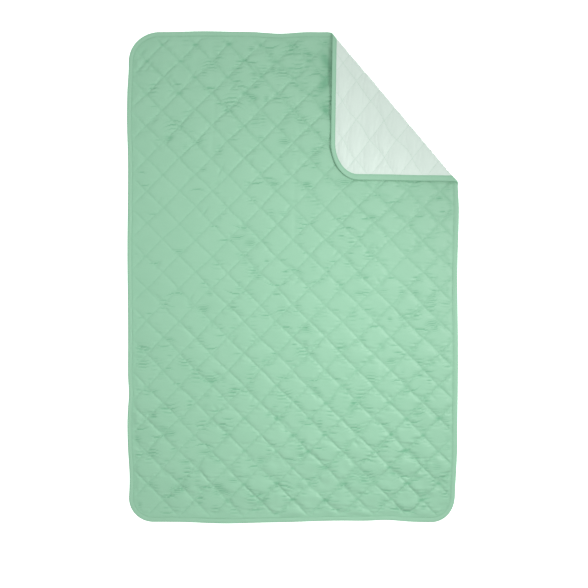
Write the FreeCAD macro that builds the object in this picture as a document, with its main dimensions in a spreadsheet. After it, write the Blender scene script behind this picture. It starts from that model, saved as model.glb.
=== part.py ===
"""Camp quilt: three layers quilted in a diamond lattice, bound with tape, top right corner turned back.

Frame: millimetres, +X to the right, +Y towards the top edge, +Z up from the surface it lies on.
The origin is under the middle of the quilt. The quilt lies face up. Along the crease every layer
goes round a half-round fold, so the turned corner lies face down with its backing on top.
"""
import FreeCAD, Part
import math
import os
import Sketcher
from FreeCAD import Placement, Rotation, Vector

doc = FreeCAD.newDocument("camp_quilt")

# ---------------------------------------------------------------- driving dimensions
DRIVING = [
    ("quilt_width", 1320, "across, outside the binding"),
    ("quilt_length", 1960, "top to bottom, outside the binding"),
    ("corner_radius", 108, "rounded corners"),
    ("fabric_gauge", 0.6, "one skin of taffeta with the lofted fibre that clings to it"),
    ("batting_gauge", 8.8, "fibre filling as it lies quilted"),
    ("tape_gauge", 0.6, "one leg of the binding tape"),
    ("binding_width", 20, "how far the binding reaches in from the edge"),
    ("turn_top", 507, "from the corner to the crease, along the top edge"),
    ("turn_side", 600, "from the corner to the crease, down the side"),
    ("fold_gap", 1.5, "air between the panel and the corner turned back on it"),
    ("flap_lift", 10, "how far above the crease's lower end the turned edge lies"),
    ("flap_radius", 130, "rounded tip of the turned corner as it lies"),
    ("stitch_pitch", 130, "one diamond, across and along"),
    ("stitch_shift", 18, "the middle crossing's distance above the quilt's middle"),
    ("thread_width", 0.6, "sewing thread, laid flat"),
    ("thread_gauge", 0.25, "sewing thread, laid flat"),
    ("field_gap", 1, "from the binding to the ends of the quilting lines"),
    ("topstitch_inset", 3, "from the binding's inner edge to its line of stitches"),
    ("shortest_run", 6, "a quilting line shorter than this is not sewn"),
]

# ---------------------------------------------------------------- places worked out from them
WORKED_OUT = [
    ("half_width", "Sizes.quilt_width / 2"),
    ("half_length", "Sizes.quilt_length / 2"),
    ("crease_run", "sqrt(Sizes.turn_top ^ 2 + Sizes.turn_side ^ 2)"),
    ("along_x", "Sizes.turn_top / crease_run"),
    ("along_y", "-Sizes.turn_side / crease_run"),
    ("out_x", "Sizes.turn_side / crease_run"),
    ("out_y", "Sizes.turn_top / crease_run"),
    ("crease_top_x", "half_width - Sizes.turn_top"),
    ("flap_bottom_y", "half_length - Sizes.turn_side + Sizes.flap_lift"),
    ("stack", "Sizes.batting_gauge + 2 * Sizes.fabric_gauge"),
    ("fold_inside", "Sizes.fold_gap / 2"),
    ("fold_outside", "fold_inside + stack"),
    ("backing_level", "Sizes.tape_gauge"),
    ("batting_level", "backing_level + Sizes.fabric_gauge"),
    ("face_level", "batting_level + Sizes.batting_gauge"),
    ("face_top", "face_level + Sizes.fabric_gauge"),
    ("fold_level", "face_top + fold_inside"),
    ("flap_face_level", "fold_level + fold_inside"),
    ("flap_batting_level", "flap_face_level + Sizes.fabric_gauge"),
    ("flap_backing_level", "flap_batting_level + Sizes.batting_gauge"),
    ("flap_top", "flap_backing_level + Sizes.fabric_gauge"),
    ("overall_height", "2 * fold_level"),
    # the fold's axis is the line out_x * x + out_y * y = fold_axis, seen from above
    ("fold_axis", "out_x * crease_top_x + out_y * half_length - fold_outside"),
    ("fold_end_y", "(fold_axis - out_x * crease_top_x) / out_y"),
    ("fold_end_x", "(fold_axis - out_y * flap_bottom_y) / out_x"),
    ("fold_start_x", "crease_top_x - fold_outside * (out_x + 2 * along_x)"),
    ("fold_start_y", "half_length - fold_outside * (out_y + 2 * along_y)"),
    ("fold_run", "crease_run + 4 * fold_outside"),
]


def fill_sheet(name, rows, formula):
    sheet = doc.addObject("Spreadsheet::Sheet", name)
    for number, row in enumerate(rows, 1):
        sheet.set(f"A{number}", row[0] if formula else row[2])
        sheet.set(f"B{number}", f"={row[1]}" if formula else str(row[1]))
        sheet.setAlias(f"B{number}", row[0])
    doc.recompute()
    return sheet


fill_sheet("Sizes", DRIVING, formula=False)
layout = fill_sheet("Layout", WORKED_OUT, formula=True)


def value(expression):
    """An expression's number, for a sketch's first guess and for the threads."""
    result = layout.evalExpression(str(expression))
    return float(getattr(result, "Value", result))


# ---------------------------------------------------------------- outlines, seen from above
def fold_x(y):
    return f"(Layout.fold_axis - Layout.out_y * ({y})) / Layout.out_x"


def fold_y(x):
    return f"(Layout.fold_axis - Layout.out_x * ({x})) / Layout.out_y"


def panel_outline(inset):
    """The lying panel, drawn in by inset, anticlockwise from the crease's top end.

    Each point is x, y and the radius of the arc that leaves it, or None for a straight line.
    """
    right, top = f"(Layout.half_width - {inset})", f"(Layout.half_length - {inset})"
    radius = f"max(1; Sizes.corner_radius - {inset})"
    return [
        (fold_x(top), top, None),
        (f"-{right} + {radius}", top, radius),
        (f"-{right}", f"{top} - {radius}", None),
        (f"-{right}", f"-{top} + {radius}", radius),
        (f"-{right} + {radius}", f"-{top}", None),
        (f"{right} - {radius}", f"-{top}", radius),
        (right, f"-{top} + {radius}", None),
        (right, fold_y(right), None),
    ]


def flap_outline(inset):
    """The turned corner as it lies, drawn in by inset, anticlockwise from the crease's top end."""
    left, bottom = f"(Layout.crease_top_x + {inset})", f"(Layout.flap_bottom_y + {inset})"
    radius = f"max(1; Sizes.flap_radius - {inset})"
    return [
        (left, fold_y(left), None),
        (left, f"{bottom} + {radius}", radius),
        (f"{left} + {radius}", bottom, None),
        (fold_x(bottom), bottom, None),
    ]


def arc_between(start, end, radius):
    """The short anticlockwise arc from start to end."""
    chord = end - start
    middle = (start + end) * 0.5
    inward = Vector(-chord.y, chord.x, 0).normalize()
    centre = middle + inward * max(radius ** 2 - chord.Length ** 2 / 4, 0) ** 0.5
    return Part.Arc(start, centre - inward * radius, end)


def slab(name, outline, level, gauge):
    """A body: the outline sketched at a level and padded up by a gauge."""
    body = doc.addObject("PartDesign::Body", name)
    sketch = body.newObject("Sketcher::SketchObject", name + "_outline")
    ground = next(plane for plane in body.Origin.OriginFeatures if plane.Role == "XY_Plane")
    sketch.AttachmentSupport = [(ground, "")]
    sketch.MapMode = "FlatFace"
    sketch.setExpression("AttachmentOffset.Base.z", level)
    spots = [Vector(value(x), value(y), 0) for x, y, radius in outline]
    following = [(number + 1) % len(outline) for number in range(len(outline))]
    for number, (x, y, radius) in enumerate(outline):
        start, end = spots[number], spots[following[number]]
        if radius is None:
            sketch.addGeometry(Part.LineSegment(start, end), False)
        else:
            sketch.addGeometry(arc_between(start, end, value(radius)), False)
    for number, (x, y, radius) in enumerate(outline):
        sketch.addConstraint(Sketcher.Constraint("Coincident", number, 2, following[number], 1))
        drive(sketch, Sketcher.Constraint("DistanceX", -1, 1, number, 1, spots[number].x), x)
        drive(sketch, Sketcher.Constraint("DistanceY", -1, 1, number, 1, spots[number].y), y)
        if radius is not None:
            drive(sketch, Sketcher.Constraint("Radius", number, value(radius)), radius)
    pad = body.newObject("PartDesign::Pad", name + "_pad")
    pad.Profile = sketch
    pad.setExpression("Length", gauge)
    return body


def drive(sketch, constraint, expression):
    index = sketch.addConstraint(constraint)
    sketch.setExpression(f"Constraints[{index}]", expression)


# ---------------------------------------------------------------- joining and cutting
def joined(name, pieces):
    result = doc.addObject("Part::MultiFuse", name)
    result.Shapes = pieces
    return result


def shared(name, first, second):
    result = doc.addObject("Part::MultiCommon", name)
    result.Shapes = [first, second]
    return result


def cut(name, base, tool):
    result = doc.addObject("Part::Cut", name)
    result.Base, result.Tool = base, tool
    return result


# ---------------------------------------------------------------- the half-round fold
FOLD_PLACE = (
    "create(<<placement>>;"
    " create(<<vector>>; Layout.fold_start_x; Layout.fold_start_y; Layout.fold_level);"
    " create(<<rotation>>; atan2(Layout.along_y; Layout.along_x); 90; 0))"
)


def fold_rod(name, radius):
    """Half a round bar about the fold's axis, bulging away from the quilt."""
    rod = doc.addObject("Part::Cylinder", name)
    rod.Angle = 180
    rod.setExpression("Radius", radius)
    rod.setExpression("Height", "Layout.fold_run")
    rod.setExpression("Placement", FOLD_PLACE)
    return rod


def leaning_block(name, inset):
    """What the fold is trimmed to: its top and right faces lean in to meet the turned edges."""
    block = doc.addObject("Part::Wedge", name)
    block.Placement = Placement(Vector(0, 0, 0), Rotation(Vector(1, 0, 0), 90))
    for low_x in ("Xmin", "X2min"):
        block.setExpression(low_x, "-Layout.half_width")
    for low_y in ("Zmax", "Z2max"):
        block.setExpression(low_y, "Layout.half_length")
    block.Ymin = 0
    block.setExpression("Ymax", "Layout.overall_height")
    block.setExpression("Xmax", f"Layout.half_width - {inset}")
    block.setExpression("X2max", f"Layout.fold_end_x - {inset}")
    block.setExpression("Zmin", f"{inset} - Layout.half_length")
    block.setExpression("Z2min", f"{inset} - Layout.fold_end_y")
    return block


def fold_ring(name, inside, outside, inset):
    ring = cut(name + "_ring", fold_rod(name + "_rod", outside), fold_rod(name + "_bore", inside))
    return shared(name, ring, leaning_block(name + "_ends", inset))


# ---------------------------------------------------------------- the three layers
def layer(name, level, flap_level, gauge, inside):
    """One layer: the lying panel, the fold and the turned corner, all one solid."""
    return joined(name, [
        slab(name + "_panel", panel_outline("Sizes.tape_gauge"), level, gauge),
        fold_ring(name + "_fold", inside, f"{inside} + {gauge}", "Sizes.tape_gauge"),
        slab(name + "_flap", flap_outline("Sizes.tape_gauge"), flap_level, gauge),
    ])


face_fabric = layer(
    "face_fabric", "Layout.face_level", "Layout.flap_face_level",
    "Sizes.fabric_gauge", "Layout.fold_inside",
)
batting = layer(
    "batting", "Layout.batting_level", "Layout.flap_batting_level",
    "Sizes.batting_gauge", "Layout.fold_inside + Sizes.fabric_gauge",
)
backing_fabric = layer(
    "backing_fabric", "Layout.backing_level", "Layout.flap_backing_level",
    "Sizes.fabric_gauge", "Layout.fold_outside - Sizes.fabric_gauge",
)


# ---------------------------------------------------------------- the binding and its stitches
def topstitch(name, panel_level, flap_level):
    """A line of thread let into the tape, round the panel and round the turned corner."""
    outer = "(Sizes.binding_width - Sizes.topstitch_inset)"
    inner = "(Sizes.binding_width - Sizes.topstitch_inset + Sizes.thread_width)"
    bands = []
    for where, outline, level in (
        ("_panel", panel_outline, panel_level),
        ("_flap", flap_outline, flap_level),
    ):
        band = cut(
            name + where,
            slab(name + where + "_outer", outline(outer), level, "Sizes.thread_gauge"),
            slab(name + where + "_inner", outline(inner), level, "Sizes.thread_gauge"),
        )
        bands.append(band)
    return joined(name, bands)


binding_needle_thread = topstitch(
    "binding_needle_thread",
    "Layout.face_top + Sizes.tape_gauge - Sizes.thread_gauge",
    "Layout.flap_face_level - Sizes.tape_gauge",
)
binding_bobbin_thread = topstitch(
    "binding_bobbin_thread",
    "0",
    "Layout.overall_height - Sizes.thread_gauge",
)


def channel(name, outline, level):
    """Tape folded in a U over one stack's edge: the outer block less the stack and the window."""
    outer_gauge = "Layout.stack + 2 * Sizes.tape_gauge"
    block = slab(name + "_block", outline("0"), level, outer_gauge)
    window = slab(name + "_window", outline("Sizes.binding_width"), level, outer_gauge)
    stack = slab(name + "_stack", outline("Sizes.tape_gauge"), f"{level} + Sizes.tape_gauge", "Layout.stack")
    return cut(name, block, joined(name + "_inside", [window, stack]))


def fold_channel(name):
    """The same tape where it goes round the fold's two ends."""
    bore = "Layout.fold_inside - Sizes.tape_gauge"
    outside = "Layout.fold_outside + Sizes.tape_gauge"
    wrap = fold_ring(name + "_wrap", bore, outside, "0")
    window = fold_ring(name + "_window", bore, outside, "Sizes.binding_width")
    stack = fold_ring(name + "_stack", "Layout.fold_inside", "Layout.fold_outside", "Sizes.tape_gauge")
    return cut(name, wrap, joined(name + "_inside", [window, stack]))


tape_blank = joined("tape_blank", [
    channel("tape_panel", panel_outline, "0"),
    fold_channel("tape_fold"),
    channel("tape_flap", flap_outline, "Layout.flap_face_level - Sizes.tape_gauge"),
])
tape_stitches = joined("tape_stitches", [binding_needle_thread, binding_bobbin_thread])
binding_tape = cut("binding_tape", tape_blank, tape_stitches)

# ---------------------------------------------------------------- the quilting threads
FIELD_INSET = "(Sizes.binding_width + Sizes.field_gap)"
panel_field = slab("panel_field", panel_outline(FIELD_INSET), "0", "Layout.overall_height")
flap_field = slab("flap_field", flap_outline(FIELD_INSET), "0", "Layout.overall_height")
doc.recompute()


def as_it_lies(spot):
    """Where a spot of the flat quilt's top right corner comes to lie once it is turned back."""
    turn_top, turn_side, lift = (value(f"Sizes.{name}") for name in ("turn_top", "turn_side", "flap_lift"))
    start = Vector(value("Layout.crease_top_x"), value("Layout.half_length"), 0)
    offset = spot - start
    turned = Vector(
        -offset.y * turn_top / turn_side,
        offset.x * (lift - turn_side) / turn_top + offset.y * lift / turn_side,
        0,
    )
    return start + turned


def strip(start, end, level):
    """A straight flat thread from start to end, with its underside at a level."""
    run = end - start
    width = value("Sizes.thread_width")
    thread = Part.makeBox(run.Length, width, value("Sizes.thread_gauge"), Vector(0, -width / 2, 0))
    turn = Rotation(Vector(0, 0, 1), math.degrees(math.atan2(run.y, run.x)))
    thread.Placement = Placement(Vector(start.x, start.y, level), turn)
    return thread


def quilting(name, slope, panel_level, flap_level):
    """All the lines of one slope on one side of the quilt, trimmed to inside the binding."""
    pitch, reach = value("Sizes.stitch_pitch"), value("Layout.half_width + Layout.half_length")
    middle = Vector(0, value("Sizes.stitch_shift"), 0)
    outwards = Vector(reach, slope * reach, 0)
    shortest = value("Sizes.shortest_run * Sizes.thread_width * Sizes.thread_gauge")
    count = math.ceil(reach / pitch) + 1
    runs = []
    for field, level, place in (
        (panel_field, value(panel_level), Vector),
        (flap_field, value(flap_level), as_it_lies),
    ):
        lines = []
        for number in range(-count, count + 1):
            crossing = middle + Vector(0, number * pitch, 0)
            lines.append(strip(place(crossing - outwards), place(crossing + outwards), level))
        sewn = Part.makeCompound(lines).common(field.Shape)
        runs += [run for run in sewn.Solids if run.Volume > shortest]
    threads = doc.addObject("Part::Feature", name)
    threads.Shape = Part.makeCompound(runs)
    return threads


# the falling lines are sewn last, so they cross outside the rising ones
STEPS = (("rising", 1, 1), ("falling", -1, 2))
needle_threads = [
    quilting(
        f"needle_thread_{name}", slope,
        f"Layout.face_top + {step - 1} * Sizes.thread_gauge",
        f"Layout.flap_face_level - {step} * Sizes.thread_gauge",
    )
    for name, slope, step in STEPS
]
bobbin_threads = [
    quilting(
        f"bobbin_thread_{name}", slope,
        f"Layout.backing_level - {step} * Sizes.thread_gauge",
        f"Layout.flap_top + {step - 1} * Sizes.thread_gauge",
    )
    for name, slope, step in STEPS
]

# ---------------------------------------------------------------- labels, checks and files
SUB_PARTS = [
    face_fabric, batting, backing_fabric, binding_tape,
    binding_needle_thread, binding_bobbin_thread, *needle_threads, *bobbin_threads,
]
doc.recompute()
for thing in doc.Objects:
    if "Invalid" in thing.State or "Error" in thing.State:
        raise RuntimeError(f"{thing.Name} did not build: {thing.State}")
for piece in SUB_PARTS:
    piece.Label = piece.Name
    if piece.Shape.isNull() or not piece.Shape.isValid():
        raise RuntimeError(f"{piece.Label} has no sound shape")

os.makedirs("parts", exist_ok=True)
for piece in SUB_PARTS:
    piece.Shape.exportStep(f"parts/{piece.Label}.step")
    box = piece.Shape.BoundBox
    print(
        f"{piece.Label}: {len(piece.Shape.Solids)} solids, {piece.Shape.Volume / 1000:.1f} cm3,"
        f" x {box.XMin:.2f} to {box.XMax:.2f}, y {box.YMin:.2f} to {box.YMax:.2f},"
        f" z {box.ZMin:.2f} to {box.ZMax:.2f}"
    )
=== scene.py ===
# %% [markdown]
# # A camp quilt, quilted in diamonds, with one corner turned back
#
# The quilt is a sandwich: a taffeta face, a sheet of fibre batting and a paler taffeta backing.
# Straight lines of stitches cross it both ways and press the sandwich flat, so it puffs up in
# diamonds between them. A folded tape binds the edge. Everything here is made flat first, as a
# sewing room makes it, and then one corner is turned back by a single folding function.

# %% Load the frame
import math

import bpy
import numpy as np
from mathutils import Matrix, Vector


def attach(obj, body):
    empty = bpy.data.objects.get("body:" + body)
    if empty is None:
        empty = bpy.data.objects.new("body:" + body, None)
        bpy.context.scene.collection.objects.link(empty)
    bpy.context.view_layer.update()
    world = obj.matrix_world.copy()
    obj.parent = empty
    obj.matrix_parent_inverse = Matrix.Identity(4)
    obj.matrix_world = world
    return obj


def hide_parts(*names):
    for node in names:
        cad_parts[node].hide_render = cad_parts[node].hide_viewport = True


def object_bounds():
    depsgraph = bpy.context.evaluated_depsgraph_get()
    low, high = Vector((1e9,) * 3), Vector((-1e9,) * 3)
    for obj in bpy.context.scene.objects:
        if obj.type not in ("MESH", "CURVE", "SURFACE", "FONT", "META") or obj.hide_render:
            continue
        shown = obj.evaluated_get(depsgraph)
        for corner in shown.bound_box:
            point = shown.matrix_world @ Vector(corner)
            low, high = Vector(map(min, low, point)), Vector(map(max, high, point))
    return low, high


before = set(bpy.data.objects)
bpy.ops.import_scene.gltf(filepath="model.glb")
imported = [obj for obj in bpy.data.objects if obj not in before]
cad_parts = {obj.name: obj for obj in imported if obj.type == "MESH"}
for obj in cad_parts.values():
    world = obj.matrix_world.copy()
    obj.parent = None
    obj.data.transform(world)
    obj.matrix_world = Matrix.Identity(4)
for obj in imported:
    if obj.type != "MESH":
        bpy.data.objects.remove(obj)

cad_low, cad_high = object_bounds()
HALF_WIDTH, HALF_LENGTH = cad_high.x, cad_high.y
print(f"the quilt is {2 * HALF_WIDTH:.2f} m wide and {2 * HALF_LENGTH:.2f} m long")

# %% [markdown]
# ## The flat pattern
#
# The quilting lines run at 45 degrees and cross every 130 mm. The cloth is a grid whose cell divides
# that pitch, so every quilting line runs exactly through grid corners. A grid turned along the seams
# would do as well, but the crinkles in the cloth run across the quilt, and this one follows them.

# %% Sizes of the flat pattern
MM = 0.001
PITCH = 130 * MM
CROSSING_Y = 18 * MM
STEPS = 32
CELL = PITCH / STEPS
TOP_RADIUS, BOTTOM_RADIUS = 128 * MM, 104 * MM
BINDING_WIDTH = 20 * MM


def even_reach(distance):
    """The number of cells that covers a distance, rounded up to an even number with two to spare."""
    return 2 * math.ceil(distance / CELL / 2) + 2


COLUMNS = np.arange(-even_reach(HALF_WIDTH), even_reach(HALF_WIDTH) + 1)
ROWS = np.arange(-even_reach(HALF_LENGTH + CROSSING_Y), even_reach(HALF_LENGTH - CROSSING_Y) + 1)
column, row = np.meshgrid(COLUMNS, ROWS)
flat_x, flat_y = column * CELL, row * CELL + CROSSING_Y
on_falling = (column + row) % STEPS == 0
on_rising = (column - row) % STEPS == 0
on_seam = on_falling | on_rising
print(f"the cloth grid has {flat_x.size} corners, {CELL / MM:.2f} mm apart")


# %% How far in from the edge
def inset_of(x, y):
    """Distance in from the quilt's outline: a rectangle with rounder corners at the top."""
    radius = np.where(y > 0, TOP_RADIUS, BOTTOM_RADIUS)
    over_x, over_y = abs(x) - HALF_WIDTH + radius, abs(y) - HALF_LENGTH + radius
    outside = np.hypot(np.maximum(over_x, 0), np.maximum(over_y, 0))
    return radius - outside - np.minimum(np.maximum(over_x, over_y), 0)


def ramp(value, start, end):
    """0 before start, 1 after end and smooth between."""
    t = np.clip((value - start) / (end - start), 0, 1)
    return t * t * (3 - 2 * t)


def soft_noise(reach_x, reach_y, seed):
    """Smooth random heights over the grid, evened to a spread of 1. The reaches are in metres."""
    rough = np.random.default_rng(seed).standard_normal(flat_x.shape)
    turn_y = 2 * math.pi * np.fft.fftfreq(flat_x.shape[0])[:, None]
    turn_x = 2 * math.pi * np.fft.rfftfreq(flat_x.shape[1])[None]
    smooth = np.exp(-0.5 * ((turn_x * reach_x / CELL) ** 2 + (turn_y * reach_y / CELL) ** 2))
    out = np.fft.irfft2(np.fft.rfft2(rough) * smooth, s=flat_x.shape)
    return out / out.std()


inset = inset_of(flat_x, flat_y)

# %% [markdown]
# ## The puffed diamonds
#
# Between two quilting lines the filling lifts the taffeta like a small cushion, and stitching draws the
# cloth up, so the slack gathers in folds. Blender's Cloth makes the cushions and the broad folds. The
# grid starts at the size it was cut to. Its stitched corners are pinned and a shape key draws them up
# to the finished size, more along the quilt than across it, while a light pressure stands for the
# filling. The free cloth between them buckles into folds that run across, as on the real quilt.

# %% Mesh helpers for cloth
def mesh_from(name, spots, triangles):
    """A mesh of only the corners that its triangles use. Returns it with their numbers."""
    used, triangles = np.unique(triangles, return_inverse=True)
    triangles = triangles.reshape(-1, 3)
    mesh = bpy.data.meshes.new(name)
    mesh.vertices.add(len(used))
    mesh.vertices.foreach_set("co", spots[used].astype(np.float32).ravel())
    mesh.loops.add(triangles.size)
    mesh.loops.foreach_set("vertex_index", triangles.astype(np.int32).ravel())
    mesh.polygons.add(len(triangles))
    mesh.polygons.foreach_set("loop_start", np.arange(0, triangles.size, 3, dtype=np.int32))
    mesh.update(calc_edges=True)
    return mesh, used


def cell_triangles(shape, kept, rising_cut):
    """Two triangles for each kept cell of a grid, cut from corner to corner the way asked."""
    corner = np.arange(shape[0] * shape[1]).reshape(shape)
    a, b = corner[:-1, :-1][kept], corner[:-1, 1:][kept]
    c, d = corner[1:, 1:][kept], corner[1:, :-1][kept]
    cut = rising_cut[kept][:, None]
    first = np.where(cut, np.stack([a, b, c], 1), np.stack([a, b, d], 1))
    second = np.where(cut, np.stack([a, c, d], 1), np.stack([b, c, d], 1))
    return np.concatenate([first, second])


def in_scene(mesh):
    piece = bpy.data.objects.new(mesh.name, mesh)
    bpy.context.scene.collection.objects.link(piece)
    return piece


# A cell on a falling line is cut along it, and every other cell the other way.
rising_cut = ~((column + row + 1)[:-1, :-1] % STEPS == 0)
all_cells = np.ones(rising_cut.shape, bool)

# %% Cloth between the quilting lines
CUT_LARGER_X, CUT_LARGER_Y = 1.012, 1.035
DRAWN_BY_FRAME, LAST_FRAME = 7, 10
SEWN_MARGIN = 16 * MM


def diamond_puff(x, y):
    """A plain cushion in each diamond: 1 in its middle and 0 on its seams."""
    rising = np.sin(math.pi * (x - y + CROSSING_Y) / PITCH)
    falling = np.sin(math.pi * (x + y - CROSSING_Y) / PITCH)
    return abs(rising * falling)


def first_heights():
    puff = diamond_puff(flat_x, flat_y)
    ripple = soft_noise(20 * MM, 4.5 * MM, 5) * puff ** 0.4
    start = 3 * MM * puff ** 0.7 + 0.8 * MM * ripple
    start[on_seam | (inset < SEWN_MARGIN)] = 0
    return start


def key_shape(cloth, name, spots):
    key = cloth.shape_key_add(name=name)
    key.data.foreach_set("co", spots.astype(np.float32).ravel())
    return key


def draw_up(key):
    """The stitched corners go from the cut size to the finished one at an even rate."""
    for frame_number, share in ((1, 0.0), (DRAWN_BY_FRAME, 1.0)):
        key.value = share
        key.keyframe_insert("value", frame=frame_number)
    for curve in key.id_data.animation_data.action.fcurves:
        for point in curve.keyframe_points:
            point.interpolation = "LINEAR"


def set_up_cloth(cloth):
    modifier = cloth.modifiers.new("puff", "CLOTH")
    fabric = modifier.settings
    fabric.quality = 5
    fabric.mass = 0.001
    fabric.tension_stiffness = fabric.compression_stiffness = 15
    fabric.shear_stiffness = 5
    fabric.tension_damping = fabric.compression_damping = fabric.shear_damping = 1
    fabric.bending_model = "ANGULAR"
    fabric.bending_stiffness = 2
    fabric.air_damping = 1
    fabric.vertex_group_mass = "stitched"
    fabric.use_pressure = True
    fabric.uniform_pressure_force = 30
    fabric.effector_weights.gravity = 0
    modifier.point_cache.frame_start, modifier.point_cache.frame_end = 1, LAST_FRAME


def simulated_puff():
    """How far each grid corner moves across, along and up, from Blender's Cloth."""
    spots = np.stack([flat_x, flat_y, first_heights()], 2)
    triangles = cell_triangles(flat_x.shape, all_cells, rising_cut)
    mesh, used = mesh_from("puffing", spots.reshape(-1, 3), triangles)
    cloth = in_scene(mesh)
    pinned = (on_seam | (inset < SEWN_MARGIN)).ravel()
    cloth.vertex_groups.new(name="stitched").add(np.nonzero(pinned)[0].tolist(), 1.0, "REPLACE")
    cut_size = spots * np.array([CUT_LARGER_X, CUT_LARGER_Y, 1])
    mesh.vertices.foreach_set("co", cut_size.astype(np.float32).ravel())
    key_shape(cloth, "cut size", cut_size)
    draw_up(key_shape(cloth, "drawn up", spots))
    set_up_cloth(cloth)
    for number in range(1, LAST_FRAME + 1):
        bpy.context.scene.frame_set(number)
    puffed = cloth.evaluated_get(bpy.context.evaluated_depsgraph_get())
    moved = np.empty(spots.size, np.float32)
    puffed.data.vertices.foreach_get("co", moved)
    bpy.data.objects.remove(cloth)
    bpy.data.meshes.remove(mesh)
    bpy.context.scene.frame_set(1)
    return moved.reshape(spots.shape).astype(float) - np.stack([flat_x, flat_y, 0 * flat_x], 2)


puff = simulated_puff()
print(f"the diamonds puff up to {np.percentile(puff[..., 2], 99) / MM:.1f} mm above their seams")

# %% [markdown]
# ## Turning the corner back
#
# The crease runs from the top edge to the right side. Past it the whole sandwich goes round half a
# turn and lies face down on the panel. The corner was pulled a little askew as it was laid back, so
# its edges lie square to the quilt. One function says where any spot of the flat quilt ends up, and
# both skins, the filling, the binding and every stitch go through it, so they stay together.

# %% The fold
TURN_TOP, TURN_SIDE = 507 * MM, 600 * MM
TIP_X, TIP_Y = HALF_WIDTH - TURN_TOP - 4 * MM, HALF_LENGTH - TURN_SIDE + 9 * MM
FOLD_LEVEL = cad_high.z / 2
FOLD_REACH = FOLD_LEVEL - 0.6 * MM
NEUTRAL = 8 * MM
FLAP_SINKS = 5 * MM
crease_run = math.hypot(TURN_TOP, TURN_SIDE)
ALONG_X, ALONG_Y = TURN_TOP / crease_run, -TURN_SIDE / crease_run
OUT_X, OUT_Y = TURN_SIDE / crease_run, TURN_TOP / crease_run
FOLD_AXIS = OUT_X * (HALF_WIDTH - TURN_TOP) + OUT_Y * HALF_LENGTH - FOLD_REACH
corner_past_axis = OUT_X * HALF_WIDTH + OUT_Y * HALF_LENGTH - FOLD_AXIS
tip_before_axis = FOLD_AXIS - OUT_X * TIP_X - OUT_Y * TIP_Y
DEPTH = tip_before_axis / (corner_past_axis - math.pi * NEUTRAL)
SLIDE = (ALONG_X * (TIP_X - HALF_WIDTH) + ALONG_Y * (TIP_Y - HALF_LENGTH)) / corner_past_axis
print(f"the turned corner is {DEPTH:.2f} as deep as it was flat and slides {SLIDE:.2f} along the crease")


def bump_at(value, middle, reach):
    return np.exp(-((value - middle) / reach) ** 2)


def past_fold(x, y):
    return OUT_X * x + OUT_Y * y - FOLD_AXIS


def drift(x, y):
    """Hand-cut cloth is never quite true: the edges wander and the seams sway a little."""
    near = {
        "top": np.exp((y - HALF_LENGTH) / 0.12),
        "bottom": np.exp((-y - HALF_LENGTH) / 0.12),
        "left": np.exp((-x - HALF_WIDTH) / 0.12),
        "right": np.exp((x - HALF_WIDTH) / 0.12),
    }
    top = 4 * bump_at(x, -0.36, 0.11) - 8 * bump_at(x, -0.05, 0.08) - 3 * bump_at(x, 0.14, 0.05)
    bottom = -6 * bump_at(x, -0.28, 0.13) + 5 * bump_at(x, 0.17, 0.16) + 6 * bump_at(x, 0.38, 0.07)
    left = 5 * bump_at(y, -0.47, 0.06) + 7 * bump_at(y, -0.80, 0.10) - 3 * bump_at(y, 0.62, 0.12)
    left = left + 5 * bump_at(y, 0.84, 0.07)
    right = 4 * bump_at(y, 0.25, 0.15) - 13 * ramp(-y, 0.66, 0.93)
    sway_x = 1.4 * np.sin(9.1 * y + 5.3 * x + 1.0)
    sway_y = 1.3 * np.sin(8.3 * x - 4.9 * y + 0.4)
    across = (left * near["left"] + right * near["right"] + sway_x) * MM
    along = (top * near["top"] + bottom * near["bottom"] + sway_y) * MM
    return across, along


def waver(x, y):
    """Inside the panel the seams waver where the cloth is gathered, but not at the bound edge."""
    inner = ramp(inset_of(x, y), 0, 0.1) * MM
    gathered = 0.65 + 0.65 * np.sin(31 * x - 17 * y)
    across = 2.2 * np.sin(23 * y - 12 * x + 2.0) + gathered * np.sin(67 * y + 2.5 * np.sin(13 * x))
    along = 2.2 * np.sin(21 * x + 17 * y + 4.0) + gathered * np.sin(61 * x + 2.5 * np.sin(11 * y))
    return inner * across, inner * along


def lay(x, y, height):
    """Where a spot of the flat sandwich comes to lie, height counted up from the underside."""
    across, along = drift(x, y)
    still = 1 - ramp(past_fold(x, y), -60 * MM, 20 * MM)
    waver_x, waver_y = waver(x, y)
    x, y = x + across * still + waver_x, y + along * still + waver_y
    past = past_fold(x, y)
    turn = np.clip(past / NEUTRAL, 0, math.pi)
    beyond = np.maximum(past - math.pi * NEUTRAL, 0)
    radius = FOLD_LEVEL - height
    out = np.where(past < 0, past, radius * np.sin(turn) - DEPTH * beyond)
    level = np.where(past < 0, height, FOLD_LEVEL - radius * np.cos(turn))
    level = level + flap_lift(x, y, beyond) - FLAP_SINKS * ramp(beyond, 15 * MM, 90 * MM)
    slid = ALONG_X * x + ALONG_Y * y + SLIDE * np.maximum(past, 0)
    out = out + FOLD_AXIS + flap_sway(x, y, beyond)
    return np.stack([out * OUT_X + slid * ALONG_X, out * OUT_Y + slid * ALONG_Y, level], -1)


def flap_lift(x, y, beyond):
    """The turned corner's free edge stands a little off the panel near the crease's top end."""
    edge = np.exp(-np.maximum(HALF_LENGTH - y, 0) / (70 * MM))
    return 12 * MM * edge * bump_at(x, 0.26, 0.14) * ramp(beyond, 0, 60 * MM)


def flap_sway(x, y, beyond):
    """The pulled cloth lies unevenly, so the quilting lines on the turned corner wander."""
    free = ramp(beyond, 0, 0.1) * ramp(inset_of(x, y), 0.02, 0.12)
    return 13 * MM * free * np.sin(21 * x + 14 * y) * np.sin(16 * x - 24 * y + 1)


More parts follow.
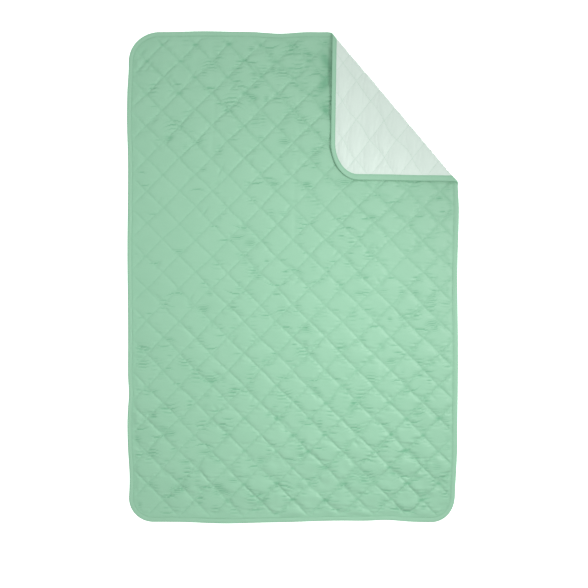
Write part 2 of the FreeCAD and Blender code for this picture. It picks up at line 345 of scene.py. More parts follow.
# %% [markdown]
# ## How high each skin stands
#
# On a seam the two skins nearly meet. In a diamond the face puffs up freely, while the underside is
# pressed flat by the floor. On the turned corner it is the other way up: there the backing is free.
# The simulation puffs higher than a quilt that was packed lies, so its height is levelled off. Its
# grid is too coarse to fold finely, so the crinkles, the hollows beside the seams and the knots where
# seams cross are pressed in by formulas, each from its own fixed seed.

# %% Where the quilting is tight or slack
def uneven(x, y):
    """How full the diamonds are: flatter at the middle left, fuller near the top and low down."""
    left_middle = bump_at(x, -0.60, 0.42) * bump_at(y, 0.12, 0.45)
    low_right = ramp(-y, 0.0, 0.7) * ramp(x, -0.3, 0.4) + 0.5 * bump_at(y, 0.75, 0.35)
    each = 1 + 0.2 * np.clip(soft_noise(40 * MM, 40 * MM, 3), -2, 2)
    return (1 - 0.70 * left_middle + 0.30 * low_right) * each


def seam_distance(x, y):
    """How far a spot is from the nearest quilting line."""
    half = PITCH / 2
    rising = abs((x - y + CROSSING_Y + half) % PITCH - half) / math.sqrt(2)
    falling = abs((x + y - CROSSING_Y + half) % PITCH - half) / math.sqrt(2)
    return np.minimum(rising, falling)


# %% Crinkles
BESIDE_SEAM = 9 * MM
CRINKLE_TRIES = 16000


def furrows(field, column_at, row_at, half_length, rows_apart, how_many, tilt, depth):
    """Presses a few short parallel furrows into the field, each along a row of the grid."""
    reach = int(2 * half_length / CELL) + 1
    tall = int(rows_apart * how_many) + 2
    here = (slice(row_at - tall, row_at + tall + 1), slice(column_at - reach, column_at + reach + 1))
    if here[0].start < 0 or here[1].start < 0:
        return
    x = (column[here] - COLUMNS[column_at]) * CELL
    rows_off = row[here] - ROWS[row_at] - np.rint(tilt * x / CELL + 7 * x * x / CELL * np.sign(tilt))
    furrow = rows_off % rows_apart == 0
    fade = np.exp(-(x / half_length) ** 2 - (rows_off / (0.5 * rows_apart * how_many)) ** 2)
    field[here] = np.maximum(field[here], depth * furrow * fade)


def crinkle_chance(x, y):
    """Crinkles gather beside the seams, mostly low down, and where the corner pulls as it turns."""
    where = 0.30 + 0.45 * ramp(-y, -0.5, 0.6) + 0.25 * bump_at(x, 0.1, 0.4)
    calm = 1 - 0.8 * bump_at(x, -0.5, 0.3) * bump_at(y, 0.25, 0.5)
    pulled = 0.5 * bump_at(x, 0.1, 0.07) * bump_at(y, 0.82, 0.13)
    near_top = 0.45 * ramp(y, 0.5, 0.85) * ramp(x, -0.6, -0.2)
    beside_seam = 0.06 + bump_at(seam_distance(x, y), BESIDE_SEAM, 9 * MM)
    return (where * calm + pulled + near_top) * beside_seam


def crinkles(seed):
    """Depths of the small creases where the cloth was drawn up along the seams."""
    chance = np.random.default_rng(seed)
    field = np.zeros(flat_x.shape)
    for _ in range(CRINKLE_TRIES):
        c, r = chance.integers(0, len(COLUMNS)), chance.integers(0, len(ROWS))
        draw = chance.uniform(0, 1, 6)
        if draw[0] > 0.20 * crinkle_chance(flat_x[r, c], flat_y[r, c]):
            continue
        size = 0.3 + 1.2 * draw[1] ** 2
        half_length, depth = (9 + 20 * size * draw[2]) * MM, (0.5 + 2.0 * size) * MM
        rows_apart, how_many, tilt = 2 + int(3 * draw[3]), 1 + 3 * draw[4] ** 2, 0.2 * (draw[5] - 0.5)
        furrows(field, c, r, half_length, rows_apart, how_many, tilt, depth)
    return field * ramp(seam_distance(flat_x, flat_y), 0, 5 * MM) * ramp(inset, 20 * MM, 34 * MM)


# %% Hollows
HOLLOW_TRIES = 9000
HOLLOW_REACH = 12  # cells each way


def patch(row_at, column_at, reach):
    """The square of grid corners round one of them."""
    return (slice(row_at - reach, row_at + reach + 1), slice(column_at - reach, column_at + reach + 1))


def hollow_chance(x, y):
    """Hollows lie beside the seams, most of them near the top, low down and towards the right."""
    where = 0.12 + 0.55 * ramp(y, 0.45, 0.9) + 0.75 * ramp(-y, 0.25, 0.8) * ramp(x, -0.6, 0.2)
    right_side = 0.3 * ramp(x, 0.1, 0.5)
    return (where + right_side) * bump_at(seam_distance(x, y), BESIDE_SEAM, 6 * MM)


def hollows(seed):
    """Depths of longer, softer dents along the seams, where the filling has bunched beside them."""
    chance = np.random.default_rng(seed)
    field = np.zeros(flat_x.shape)
    for _ in range(HOLLOW_TRIES):
        c = chance.integers(HOLLOW_REACH, len(COLUMNS) - HOLLOW_REACH)
        r = chance.integers(HOLLOW_REACH, len(ROWS) - HOLLOW_REACH)
        draw = chance.uniform(0, 1, 5)
        if draw[0] > 0.28 * hollow_chance(flat_x[r, c], flat_y[r, c]):
            continue
        here = patch(r, c, HOLLOW_REACH)
        x, y = flat_x[here] - flat_x[r, c], flat_y[here] - flat_y[r, c]
        angle = math.radians((0, 45, -45)[int(3 * draw[1])] + 30 * (draw[2] - 0.5))
        along = x * math.cos(angle) + y * math.sin(angle)
        across = y * math.cos(angle) - x * math.sin(angle)
        length, width = (10 + 14 * draw[3]) * MM, (4.5 + 3.5 * draw[4]) * MM
        dent = (1.2 + 1.6 * draw[3]) * MM * np.exp(-(along / length) ** 2 - (across / width) ** 2)
        field[here] = np.maximum(field[here], dent)
    return field * ramp(inset, 20 * MM, 34 * MM)


# %% Knots where the lines cross
KNOT_REACH = 14  # cells each way


def knots(seed):
    """Where two quilting lines cross the cloth draws up tight, more at some crossings than others."""
    chance = np.random.default_rng(seed)
    field = np.zeros(flat_x.shape)
    for r, c in np.argwhere(on_rising & on_falling):
        if min(r, c, len(ROWS) - 1 - r, len(COLUMNS) - 1 - c) < STEPS // 2:
            continue
        draw = chance.uniform(0, 1, 4)
        low_right = ramp(-flat_y[r, c], 0.2, 0.75) * ramp(flat_x[r, c], -0.5, 0.1)
        tight = 0.28 + 0.9 * low_right + 0.7 * ramp(flat_y[r, c], 0.45, 0.85)
        wide, tall = (7 + 9 * draw[1]) * MM, (4 + 4 * draw[2]) * MM
        here = patch(r, c, KNOT_REACH)
        x, y = flat_x[here] - flat_x[r, c] + 6 * MM * (draw[3] - 0.5), flat_y[here] - flat_y[r, c]
        near = np.exp(-(x / wide) ** 2 - (y / tall) ** 2)
        field[here] = np.maximum(field[here], 3.2 * MM * draw[0] * tight * near)
    return field * ramp(inset, 20 * MM, 34 * MM)


hollow = hollows(9)
knot = knots(4)
crinkle = crinkles(7)
print(f"{np.count_nonzero(knot > 1 * MM)} grid points lie in the knots")
print(f"crinkles are up to {crinkle.max() / MM:.1f} mm deep")


# %% Packing creases
def packing_creases(x, y):
    """The quilt was folded up in its bag, which left shallow straight creases."""
    def crease(across, along, at, start, end, depth):
        ends = ramp(along, start, start + 0.1) * ramp(-along, -end, 0.1 - end)
        return depth * bump_at(across, at, 10 * MM) * ends

    wavy_x, wavy_y = x + 0.01 * np.sin(7 * y), y + 0.01 * np.sin(6 * x)
    upright = (crease(wavy_x, y, -0.323, 0.40, 0.98, 1.3) + crease(wavy_x, y, 0.017, 0.10, 0.88, 1.4)
               + crease(wavy_x, y, 0.349, -0.6, -0.18, 1.3))
    level = crease(wavy_y, x, -0.332, -0.26, 0.52, 1.5) + crease(wavy_y, x, -0.72, 0.28, 0.66, 1.3)
    return 0.6 * MM * (upright + level)


def bunched(x, y):
    """Hollows where the panel bunches beside the turned corner's edge."""
    one = 3.6 * bump_at(x + 0.4 * (y - 0.86), 0.134, 0.020) * bump_at(y, 0.86, 0.036)
    two = 3.8 * bump_at(x - 0.4 * (y - 0.775), 0.130, 0.022) * bump_at(y, 0.775, 0.034)
    three = 3.0 * bump_at(x + 0.4 * (y - 0.67), 0.130, 0.016) * bump_at(y, 0.67, 0.028)
    return MM * (one + two + three)


# %% Heights in the flat sandwich
SEAM_FACE, SEAM_BACK = 3.4 * MM, 2.3 * MM
EDGE_MIDDLE, EDGE_HALF = 3.7 * MM, 1.7 * MM


def away_from_edge(x, y):
    return ramp(inset_of(x, y), 14 * MM, 42 * MM)


def face_seam(x, y):
    edge = away_from_edge(x, y)
    return SEAM_FACE * edge + (EDGE_MIDDLE + EDGE_HALF) * (1 - edge)


def back_seam(x, y):
    edge = away_from_edge(x, y)
    return SEAM_BACK * edge + (EDGE_MIDDLE - EDGE_HALF) * (1 - edge)


turned = ramp(past_fold(flat_x, flat_y), 0, 40 * MM)
edge_share = ramp(inset, 17 * MM, 40 * MM)
FULL_LOFT, LEVELS_OFF = 3.3 * MM, 3.9 * MM
PRESSED_FACE, PRESSED_BACK = 4.5 * MM, 1.7 * MM
GROOVE_DEPTH, GROOVE_HALF = 0.9 * MM, 2.6 * MM
fullness = uneven(flat_x, flat_y)
on_line = bump_at(seam_distance(flat_x, flat_y), 0, GROOVE_HALF)
swell = FULL_LOFT * fullness * np.tanh(np.clip(puff[..., 2], 0, None) / LEVELS_OFF)
swell = swell + GROOVE_DEPTH * (1 - on_line) * (0.4 + 0.6 * fullness)
rumpled = ramp(-flat_y, 0.5, 0.85) * ramp(flat_x, -0.55, 0.0) + 0.5 * ramp(flat_y, 0.6, 0.9)
rumple = rumpled * MM * (0.9 * soft_noise(26 * MM, 12 * MM, 6) + 0.6 * soft_noise(10 * MM, 10 * MM, 8))
beside_flap = bunched(flat_x, flat_y)
dents = crinkle + hollow + knot + rumple + packing_creases(flat_x, flat_y) + beside_flap
face_loft = np.clip(swell - dents * np.tanh(swell / (1.2 * MM)), -0.3 * MM, 9 * MM) * edge_share
back_loft = np.clip(puff[:, ::-1, 2], 0, 9 * MM) * edge_share
pressed_face = PRESSED_FACE * np.tanh(face_loft / PRESSED_FACE)
pressed_back = PRESSED_BACK * np.tanh(back_loft / PRESSED_BACK)
free_back = 0.45 * back_loft * fullness
face_height = face_seam(flat_x, flat_y) + face_loft * (1 - turned) + pressed_face * turned
back_height = back_seam(flat_x, flat_y) - pressed_back * (1 - turned) - free_back * turned
# Painted shade for the face: its colour darkens in the crinkles, hollows and knots, a little along the
# seams, and in the turned corner's shadow beside its edge.
seam_shade = on_line * edge_share
painted_crease_shade = 0.7 * crinkle + 0.12 * hollow + 0.65 * knot + 0.5 * beside_flap
face_painted_shade = np.clip(painted_crease_shade / (2 * MM), 0, 1) * edge_share
face_painted_shade = np.maximum(face_painted_shade, 0.16 * seam_shade)
print(f"the face stands up to {face_height.max() / MM:.1f} mm, the backing goes down to "
      f"{back_height[turned < 0.01].min() / MM:.1f} mm")

# %% [markdown]
# ## The two skins
#
# Each skin is an open sheet of cloth made from the grid. Its UV map keeps where each spot was in the
# flat quilt, so a weave drawn on it follows the cloth round the fold. The skins end under the binding.

# %% Face and backing
SKIN_ENDS_AT = 5 * MM


def every(grid, stride):
    return grid[::stride, ::stride]


def kept_cells(stride):
    """The cells whose four corners all lie inside the sewn edge."""
    inside = every(inset, stride) > SKIN_ENDS_AT
    return inside[:-1, :-1] & inside[:-1, 1:] & inside[1:, 1:] & inside[1:, :-1]


def falling_cells(stride):
    """The cells that a falling line crosses from corner to corner."""
    steps = STEPS // stride
    across, along = np.meshgrid(COLUMNS[::stride] // stride, ROWS[::stride] // stride)
    return (across + along + 1)[:-1, :-1] % steps == 0


def keep_flat_places(mesh, flat):
    """The UV map holds each corner's place in the flat quilt, in metres."""
    layer = mesh.uv_layers.new(name="flat")
    corner = np.empty(len(mesh.loops), np.int32)
    mesh.loops.foreach_get("vertex_index", corner)
    layer.data.foreach_set("uv", flat[corner].astype(np.float32).ravel())


def smoothed(piece):
    piece.data.polygons.foreach_set("use_smooth", np.ones(len(piece.data.polygons), bool))
    return piece


def keep_painted_shade(mesh, share):
    """An attribute tells the material how much painted shade each corner gets, from 0 to 1: more the deeper
    it lies in a crease or seam.
    """
    layer = mesh.attributes.new("painted_shade", "FLOAT", "POINT")
    layer.data.foreach_set("value", share.astype(np.float32).ravel())


def skin(name, height, sideways, painted_shade, upward):
    """One skin of the quilt, facing up or down."""
    x, y = flat_x + sideways[..., 0], flat_y + sideways[..., 1]
    triangles = cell_triangles(flat_x.shape, kept_cells(1), rising_cut)
    if not upward:
        triangles = triangles[:, ::-1]
    mesh, used = mesh_from(name, lay(x, y, height).reshape(-1, 3), triangles)
    keep_flat_places(mesh, np.stack([flat_x, flat_y], 2).reshape(-1, 2)[used])
    keep_painted_shade(mesh, painted_shade.ravel()[used])
    return smoothed(in_scene(mesh))


mirrored_puff = puff[:, ::-1] * np.array([-1, 1, 1])
face = skin("face_taffeta", face_height, puff, face_painted_shade, True)
# The backing gets a little painted shade along its seams.
backing = skin("backing_taffeta", back_height, mirrored_puff, 0.15 * seam_shade, False)
print(f"face {len(face.data.polygons)} triangles, backing {len(backing.data.polygons)}")

# %% [markdown]
# ## The batting
#
# One closed sheet of filling lies between the skins, thick in the diamonds and pinched along the seams.

# %% Batting
BATTING_GAP = 0.35 * MM
BATTING_STRIDE = 2


def lowest_near(height):
    """The lowest of each corner and its eight neighbours, so a coarser mesh stays under the cloth."""
    low = height.copy()
    for down in (-1, 0, 1):
        for over in (-1, 0, 1):
            low = np.minimum(low, np.roll(height, (down, over), (0, 1)))
    return low


def batting_piece():
    top = lowest_near(lowest_near(face_height)) - BATTING_GAP
    bottom = -lowest_near(-back_height) + BATTING_GAP
    top = np.maximum(top, bottom + 0.2 * MM)
    cells = kept_cells(BATTING_STRIDE)
    shape = cells.shape + np.array([1, 1])
    upper = cell_triangles(shape, cells, ~falling_cells(BATTING_STRIDE))
    count = shape[0] * shape[1]
    edges = np.concatenate([upper[:, [0, 1]], upper[:, [1, 2]], upper[:, [2, 0]]])
    inner = np.isin(edges[:, 0] * count + edges[:, 1], edges[:, 1] * count + edges[:, 0])
    start, end = edges[~inner].T
    walls = np.concatenate([np.stack([end, start, start + count], 1),
                            np.stack([end, start + count, end + count], 1)])
    triangles = np.concatenate([upper, upper[:, ::-1] + count, walls])
    spots = [every(lay(flat_x, flat_y, level), BATTING_STRIDE).reshape(-1, 3) for level in (top, bottom)]
    mesh, used = mesh_from("batting_pad", np.concatenate(spots), triangles)
    return smoothed(in_scene(mesh))


batting = batting_piece()
print(f"batting {len(batting.data.polygons)} triangles")

# %% [markdown]
# ## The binding
#
# A strip of the same taffeta is folded round the raw edge and topstitched through. Its section is a
# thin U that is swept round the outline of the flat quilt and then folded with the rest.

# %% Outline
ARC_STEP = 5 * MM
STITCH_INSET = 17 * MM


def side_run(start, end, inward):
    """Spots every 5 mm along a straight side, each with the direction that points into the quilt."""
    start, end = np.array(start), np.array(end)
    count = round(np.linalg.norm(end - start) / ARC_STEP)
    share = np.arange(count)[:, None] / count
    return start + (end - start) * share, np.tile(inward, (count, 1))


def corner_run(centre, radius, first_angle):
    """The same round a quarter circle, counted in degrees from first_angle."""
    count = round(radius * math.pi / 2 / ARC_STEP)
    angle = math.radians(first_angle) + np.arange(count) / count * math.pi / 2
    outward = np.stack([np.cos(angle), np.sin(angle)], 1)
    return np.array(centre) + radius * outward, -outward


def outline():
    """The quilt's edge, counter-clockwise from its bottom left side."""
    w, h, top, low = HALF_WIDTH, HALF_LENGTH, TOP_RADIUS, BOTTOM_RADIUS
    runs = [
        side_run((-w + low, -h), (w - low, -h), (0, 1)),
        corner_run((w - low, -h + low), low, -90),
        side_run((w, -h + low), (w, h - top), (-1, 0)),
        corner_run((w - top, h - top), top, 0),
        side_run((w - top, h), (-w + top, h), (0, -1)),
        corner_run((-w + top, h - top), top, 90),
        side_run((-w, h - top), (-w, -h + low), (1, 0)),
        corner_run((-w + low, -h + low), low, 180),
    ]
    return np.concatenate([run[0] for run in runs]), np.concatenate([run[1] for run in runs])


edge_spots, edge_inward = outline()
edge_length = len(edge_spots) * ARC_STEP
print(f"the outline is {edge_length:.2f} m long")


# %% Binding
def height_at(height, x, y):
    """A grid's height at any flat spot, read between its corners."""
    across = np.clip(x / CELL - COLUMNS[0], 0, len(COLUMNS) - 1.001)
    along = np.clip((y - CROSSING_Y) / CELL - ROWS[0], 0, len(ROWS) - 1.001)
    c, r = across.astype(int), along.astype(int)
    s, t = across - c, along - r
    low = height[r, c] * (1 - s) + height[r, c + 1] * s
    high = height[r + 1, c] * (1 - s) + height[r + 1, c + 1] * s
    return low * (1 - t) + high * t


def ring_noise(count, reach, seed):
    """Smooth random numbers round a closed ring, evened to a spread of 1."""
    rough = np.random.default_rng(seed).standard_normal(count)
    smooth = np.exp(-0.5 * (2 * math.pi * np.fft.rfftfreq(count) * reach) ** 2)
    out = np.fft.irfft(np.fft.rfft(rough) * smooth, n=count)
    return out / out.std()


TAPE_THICK = 0.6 * MM
BEAD_HALF = 3.5 * MM
LEG_INSETS = np.array([20.3, 19.6, 18.4, 17.4, 17.0, 16.6, 15.4, 12.5, 9.5, 6.5, 4.0, 2.2, 0.9, 0.2]) * MM


def bead(depth):
    """How far the tape stands from the middle of the edge: a round nose, then a soft crown."""
    nose = np.sqrt(np.clip(1 - (1 - np.minimum(depth, BEAD_HALF) / BEAD_HALF) ** 2, 0, 1))
    stitched = bump_at(depth, STITCH_INSET, 2.2 * MM)
    return BEAD_HALF * nose * (1 - 0.16 * ramp(depth, 8 * MM, 20 * MM) - 0.14 * stitched)


def tape_leg(side, offset):
    """One leg's surface round the whole outline: side is 1 on the face and -1 on the backing."""
    count = len(edge_spots)
    pucker = 0.28 * ring_noise(count, 1.4, 11 + side) + 0.25 * ring_noise(count, 5, 21 + side)
    levels, places = [], []
    for depth in LEG_INSETS:
        place = edge_spots + edge_inward * np.maximum(depth, offset)
        x, y = place.T
        level = EDGE_MIDDLE + side * (bead(depth) + pucker * MM * ramp(depth, 2 * MM, 9 * MM)
                                      * (1 - 0.8 * bump_at(depth, STITCH_INSET, 2.5 * MM)))
        cloth = height_at(face_height if side > 0 else back_height, x, y)
        if depth > 8 * MM:
            level = side * np.maximum(side * level, side * cloth + TAPE_THICK + 0.15 * MM)
        levels.append(level - side * offset)
        places.append(place)
    return np.array(places), np.array(levels)


def binding_piece():
    """The U section, outer face first and then back along its inner face, swept round the edge."""
    outer_up, outer_up_level = tape_leg(1, 0)
    outer_low, outer_low_level = tape_leg(-1, 0)
    inner_up, inner_up_level = tape_leg(1, TAPE_THICK)
    inner_low, inner_low_level = tape_leg(-1, TAPE_THICK)
    places = np.concatenate([outer_up, outer_low[::-1], inner_low, inner_up[::-1]])
    levels = np.concatenate([outer_up_level, outer_low_level[::-1], inner_low_level, inner_up_level[::-1]])
    spots = lay(places[..., 0], places[..., 1], levels)
    rows, columns = spots.shape[:2]
    here = np.arange(rows * columns).reshape(rows, columns)
    below, beside = np.roll(here, -1, 0), np.roll(here, -1, 1)
    opposite = np.roll(below, -1, 1)
    triangles = np.concatenate([
        np.stack([here, beside, opposite], 2).reshape(-1, 3),
        np.stack([here, opposite, below], 2).reshape(-1, 3),
    ])[:, ::-1]
    mesh, used = mesh_from("edge_binding", spots.reshape(-1, 3), triangles)
    run = np.broadcast_to(np.arange(columns) * ARC_STEP, (rows, columns))
    depth = np.concatenate([LEG_INSETS, -LEG_INSETS[::-1], -LEG_INSETS, LEG_INSETS[::-1]])
    flat = np.stack([run, np.broadcast_to(depth[:, None], run.shape)], 2).reshape(-1, 2)
    keep_flat_places(mesh, flat[used])
    # Painted shade on the tape: darker in its stitch groove, where each leg ends on the cloth, and round its
    # rounded outer edge.
    tape_shade = 0.2 * bump_at(abs(depth), STITCH_INSET, 1.4 * MM)
    tape_shade = tape_shade + 0.45 * bump_at(abs(depth), LEG_INSETS[0], 0.8 * MM) + 0.5 * bump_at(depth, 0, 2 * MM)
    keep_painted_shade(mesh, np.broadcast_to(tape_shade[:, None], run.shape).ravel()[used])
    return smoothed(in_scene(mesh))


binding = binding_piece()
print(f"binding {len(binding.data.polygons)} triangles")

# %% [markdown]
# ## The stitches
#
# One stitch is modelled first: a small sphere drawn out into a spindle. It is then copied along every
# quilting line, on the face for the needle thread and on the backing for the bobbin thread, and twice
# round the binding.

# %% One stitch
STITCH_LENGTH, STITCH_STEP = 2.8 * MM, 3.6 * MM
THREAD_HALF = 0.3 * MM
STITCH_RISE = 0.1 * MM


def one_stitch():
    """The corners and triangles of a spindle along X, 2.8 mm long and 0.6 mm across."""
    bpy.ops.object.select_all(action="DESELECT")
    bpy.ops.mesh.primitive_ico_sphere_add(subdivisions=1, radius=THREAD_HALF)
    bpy.ops.object.mode_set(mode="EDIT")
    bpy.ops.transform.resize(value=(STITCH_LENGTH / 2 / THREAD_HALF, 1, 1))
    bpy.ops.object.mode_set(mode="OBJECT")
    pattern = bpy.context.object
    spots = np.array([tuple(v.co) for v in pattern.data.vertices])
    triangles = np.array([tuple(p.vertices) for p in pattern.data.polygons])
    bpy.data.objects.remove(pattern)
    return spots, triangles


stitch_spots, stitch_triangles = one_stitch()
print(f"a stitch has {len(stitch_triangles)} triangles")


# %% Rows of stitches
def stitches(name, centres, ways, level, side):
    """Copies of the stitch at flat places, each along its own way, sunk a little into the cloth."""
    along = ways[:, None] * stitch_spots[None, :, :1]
    across = np.stack([-ways[:, 1], ways[:, 0]], 1)[:, None] * stitch_spots[None, :, 1:2]
    place = centres[:, None] + along + side * across
    height = level[:, None] + side * stitch_spots[None, :, 2]
    spots = lay(place[..., 0], place[..., 1], height).reshape(-1, 3)
    first = np.arange(len(centres))[:, None, None] * len(stitch_spots)
    triangles = (first + stitch_triangles[None]).reshape(-1, 3)
    mesh, used = mesh_from(name, spots, triangles)
    return smoothed(in_scene(mesh))


def quilting_places(slope):
    """The centres of the stitches on every line of one slope: 1 rises to the right, -1 falls."""
    reach = HALF_WIDTH + HALF_LENGTH
    lines = np.arange(-math.ceil(2 * reach / PITCH), math.ceil(2 * reach / PITCH)) * PITCH
    start = 0.3 * STITCH_STEP
    steps = np.arange(-reach, reach, STITCH_STEP) + start
    line, step = np.meshgrid(lines, steps)
    x = line / 2 + step / math.sqrt(2)
    y = CROSSING_Y + slope * (step / math.sqrt(2) - line / 2)
    inside = inset_of(x, y) > BINDING_WIDTH + 1.5 * MM
    centres = np.stack([x[inside], y[inside]], 1)
    return centres, np.tile(np.array([1, slope]) / math.sqrt(2), (len(centres), 1))


def edge_places():
    """The centres of the stitches that hold the binding, and the way each one runs."""
    count = round(edge_length / STITCH_STEP)
    index = np.arange(count) * len(edge_spots) / count
    low = index.astype(int)
    share = (index - low)[:, None]
    following = (low + 1) % len(edge_spots)
    spot = edge_spots[low] * (1 - share) + edge_spots[following] * share
    inward = edge_inward[low] * (1 - share) + edge_inward[following] * share
    inward = inward / np.linalg.norm(inward, axis=1)[:, None]
    return spot + inward * STITCH_INSET, np.stack([inward[:, 1], -inward[:, 0]], 1)


quilting = []
for slope, word in ((1, "rising"), (-1, "falling")):
    centres, ways = quilting_places(slope)
    x, y = centres.T
    quilting.append(stitches(f"needle_stitches_{word}", centres, ways, face_seam(x, y) + STITCH_RISE, 1))
    quilting.append(stitches(f"bobbin_stitches_{word}", centres, ways, back_seam(x, y) - STITCH_RISE, -1))
    print(f"{len(centres)} {word} stitches on each side")
centres, ways = edge_places()
off_middle = bead(STITCH_INSET) - STITCH_RISE
needle_level = np.full(len(centres), EDGE_MIDDLE + off_middle)
bobbin_level = np.full(len(centres), EDGE_MIDDLE - off_middle)
edge_needle = stitches("binding_needle_stitches", centres, ways, needle_level, 1)
edge_bobbin = stitches("binding_bobbin_stitches", centres, ways, bobbin_level, -1)
print(f"{len(centres)} stitches round the binding on each side")

# %% [markdown]
# ## Materials
#
# Every material is procedural. Cloth patterns read the UV map that holds the flat quilt in metres, so
# the weave stays square to the cloth wherever it is folded.

# %% Node helpers
def linear(hex_colour):
    """A Blender colour from an sRGB hex string."""
    parts = [int(hex_colour[i:i + 2], 16) / 255 for i in (1, 3, 5)]
    return tuple(c / 12.92 if c <= 0.04045 else ((c + 0.055) / 1.055) ** 2.4 for c in parts) + (1,)


def add(tree, kind, settings=None, **inputs):
    """A node with its settings and inputs. An input is a value or another node's output."""
    node = tree.nodes.new("ShaderNode" + kind)
    for name, value in (settings or {}).items():
        setattr(node, name, value)
    for name, value in inputs.items():
        socket = node.inputs[int(name[1:])] if name[1:].isdigit() else node.inputs[name.replace("_", " ")]
        if isinstance(value, bpy.types.NodeSocket):
            tree.links.new(value, socket)
        else:
            socket.default_value = value
    return node


def new_material(name):
    material = bpy.data.materials.new(name)
    material.use_nodes = True
    tree = material.node_tree
    surface = tree.nodes["Principled BSDF"]
    return material, tree, surface


def maths(tree, operation, first, second=0.0):
    return add(tree, "Math", {"operation": operation}, _0=first, _1=second).outputs[0]


def mixed(tree, share, first, second):
    node = add(tree, "Mix", {"data_type": "RGBA"}, _0=share, _6=first, _7=second)
    return node.outputs[2]


# %% Taffeta
YARN_PITCH = 0.9 * MM


def woven_height(tree, flat, pitch):
    """A plain weave: yarns cross over and under each other at the pitch given."""
    turns = math.pi / pitch
    parts = add(tree, "SeparateXYZ", _0=flat)
    across = maths(tree, "SINE", maths(tree, "MULTIPLY", parts.outputs[0], turns))
    along = maths(tree, "SINE", maths(tree, "MULTIPLY", parts.outputs[1], turns))
    return maths(tree, "MULTIPLY", across, along)


def taffeta(name, colour, shade, deep, roughness, sheen):
    """Smooth polyester taffeta: a fine plain weave with a soft satin light, and painted shade that darkens
    its creases.
    """
    material, tree, surface = new_material(name)
    flat = add(tree, "UVMap", {"uv_map": "flat"}).outputs[0]
    clouds = add(tree, "TexNoise", None, Vector=flat, Scale=9.0, Detail=3.0, Roughness=0.5)
    slubs = add(tree, "Mapping", None, _0=flat, _3=(40.0, 900.0, 1.0))
    slub = add(tree, "TexNoise", None, Vector=slubs.outputs[0], Scale=1.0, Detail=2.0)
    cloud_share = maths(tree, "MULTIPLY", clouds.outputs[0], 0.7)
    share = maths(tree, "ADD", cloud_share, maths(tree, "MULTIPLY", slub.outputs[0], 0.3))
    cloth = mixed(tree, share, linear(shade), linear(colour))
    # Painted shade: the colour goes towards the deep colour where the attribute marks a crease, a seam or
    # the turned corner's shadow.
    painted_shade = add(tree, "Attribute", {"attribute_name": "painted_shade"}).outputs["Fac"]
    tree.links.new(mixed(tree, maths(tree, "MULTIPLY", painted_shade, 0.7), cloth, linear(deep)),
                   surface.inputs["Base Color"])
    creases = add(tree, "Mapping", None, _0=flat, _3=(28.0, 120.0, 1.0))
    crease = add(tree, "TexNoise", None, Vector=creases.outputs[0], Scale=1.0, Detail=3.0, Roughness=0.6)
    fine = maths(tree, "MULTIPLY", woven_height(tree, flat, YARN_PITCH), 0.02)
    height = maths(tree, "ADD", maths(tree, "MULTIPLY", crease.outputs[0], 0.5), fine)
    bump = add(tree, "Bump", None, Strength=0.35, Distance=0.0015, Height=height)
    tree.links.new(bump.outputs[0], surface.inputs["Normal"])
    surface.inputs["Roughness"].default_value = roughness
    surface.inputs["Sheen Weight"].default_value = sheen
    surface.inputs["Sheen Roughness"].default_value = 0.45
    surface.inputs["Specular IOR Level"].default_value = 0.35
    return material


def dress(piece, material, node):
    """The piece gets its material, rides on the one body and stands for its CAD node."""
    piece.data.materials.clear()
    piece.data.materials.append(material)
    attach(piece, "root")
    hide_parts(node)


# The last colour of each taffeta is the painted shade for its creases, seams and the turned corner's shadow.
face_cloth = taffeta("polyester taffeta, mint green", "#A1D3B4", "#95CBAA", "#64AC84", 0.46, 0.15)
backing_cloth = taffeta("polyester taffeta, pale mint", "#E3F3E9", "#DAEBE1", "#B9CFC1", 0.5, 0.1)
tape_cloth = taffeta("folded taffeta tape, mint green", "#A1D2B4", "#97CAAA", "#64A480", 0.5, 0.1)


def thread_material():
    """Spun polyester thread: two plies twisted together, seen as slanting ridges."""
    material, tree, surface = new_material("spun polyester thread, mint green")
    place = add(tree, "TexCoord").outputs["Object"]
    ply = add(tree, "TexWave", {"bands_direction": "DIAGONAL"}, Vector=place, Scale=1600.0, Distortion=0.4)
    tree.links.new(mixed(tree, ply.outputs[1], linear("#86C39F"), linear("#9AD2B2")),
                   surface.inputs["Base Color"])
    bump = add(tree, "Bump", None, Strength=0.3, Distance=0.0001, Height=ply.outputs[1])
    tree.links.new(bump.outputs[0], surface.inputs["Normal"])
    surface.inputs["Roughness"].default_value = 0.6
    surface.inputs["Sheen Weight"].default_value = 0.3
    return material


def batting_material():
    """Bonded polyester batting: white, soft and cloudy, with loose crossing fibres."""
    material, tree, surface = new_material("bonded polyester batting, white")
    place = add(tree, "TexCoord").outputs["Object"]
    fibres = add(tree, "TexNoise", None, Vector=place, Scale=420.0, Detail=5.0, Roughness=0.7)
    tree.links.new(mixed(tree, fibres.outputs[0], linear("#E4E4E0"), linear("#FAFAF7")),
                   surface.inputs["Base Color"])
    bump = add(tree, "Bump", None, Strength=0.5, Distance=0.0006, Height=fibres.outputs[0])
    tree.links.new(bump.outputs[0], surface.inputs["Normal"])
    surface.inputs["Roughness"].default_value = 0.95
    surface.inputs["Sheen Weight"].default_value = 0.5
    return material


# %% Dress every piece
thread = thread_material()
dress(face, face_cloth, "face_fabric")
dress(backing, backing_cloth, "backing_fabric")
dress(batting, batting_material(), "batting")
dress(binding, tape_cloth, "binding_tape")
for piece, node in zip(quilting, ("needle_thread_rising", "bobbin_thread_rising",
                                  "needle_thread_falling", "bobbin_thread_falling")):
    dress(piece, thread, node)
dress(edge_needle, thread, "binding_needle_thread")
dress(edge_bobbin, thread, "binding_bobbin_thread")

print("ten pieces stand for the ten CAD nodes")

# %% [markdown]
# ## Floor, light and camera
#
# The quilt lies on a white floor. Two lamps at the right rake across it, so each seam has a light
# and a dark side, while two wide soft panels and a pale surround keep the shadows light.

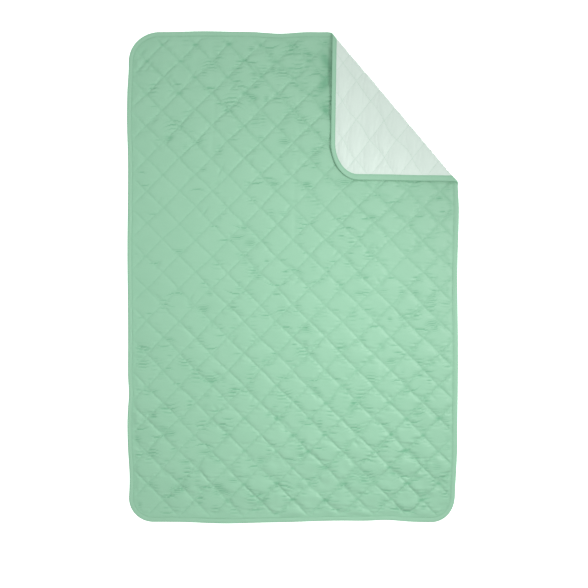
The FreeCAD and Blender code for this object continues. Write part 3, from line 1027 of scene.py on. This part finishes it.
# %% Floor
def floor_material():
    """Smooth white paper, bright enough that soft shadows nearly vanish."""
    material, tree, surface = new_material("white backdrop paper")
    place = add(tree, "TexCoord").outputs["Object"]
    grain = add(tree, "TexNoise", None, Vector=place, Scale=60.0, Detail=4.0)
    tree.links.new(mixed(tree, grain.outputs[0], linear("#FCFCFC"), linear("#FFFFFF")),
                   surface.inputs["Base Color"])
    surface.inputs["Roughness"].default_value = 0.9
    surface.inputs["Emission Color"].default_value = (1, 1, 1, 1)
    surface.inputs["Emission Strength"].default_value = 0.9
    return material


bpy.ops.object.select_all(action="DESELECT")
bpy.ops.mesh.primitive_plane_add(size=90, location=(0, 0, -0.8 * MM))
floor = bpy.context.object
floor.name = "floor"
bpy.ops.object.transform_apply(location=True)
floor.data.materials.append(floor_material())


# %% Light
def area_light(name, place, aim, size, power):
    """A square lamp at a place in metres, turned to face another place."""
    lamp = bpy.data.lights.new(name, "AREA")
    lamp.size = size
    lamp.energy = power
    holder = bpy.data.objects.new(name, lamp)
    bpy.context.scene.collection.objects.link(holder)
    holder.location = place
    holder.rotation_euler = (Vector(aim) - Vector(place)).to_track_quat("-Z", "Y").to_euler()
    return holder


area_light("side lamp", (1.1, 0.02, 1.65), (-3.0, 0, 2.2), 0.6, 20)
area_light("second lamp", (1.2, 0.25, 1.6), (-0.9, -2.7, 1.3), 0.5, 24)
area_light("overhead panel", (-0.1, 1.2, 2.0), (0, 0.9, 0), 1.6, 7.5)
area_light("lower panel", (-0.2, -1.7, 1.9), (-0.1, -0.9, 0), 1.4, 3)
world = bpy.data.worlds.new("studio")
bpy.context.scene.world = world
world.use_nodes = True
world.node_tree.nodes["Background"].inputs["Color"].default_value = (1, 1, 1, 1)
world.node_tree.nodes["Background"].inputs["Strength"].default_value = 0.50

# %% Camera
CAMERA_X, CAMERA_Y, CAMERA_HEIGHT = 5 * MM, -68 * MM, 6.0
SEEN_WIDTH = 2.352
eye = bpy.data.cameras.new("camera")
eye.sensor_width = 36
eye.lens = 36 * CAMERA_HEIGHT / SEEN_WIDTH
camera = bpy.data.objects.new("camera", eye)
bpy.context.scene.collection.objects.link(camera)
camera.location = (CAMERA_X, CAMERA_Y, CAMERA_HEIGHT)
bpy.context.scene.camera = camera
bpy.context.scene.view_settings.view_transform = "Standard"
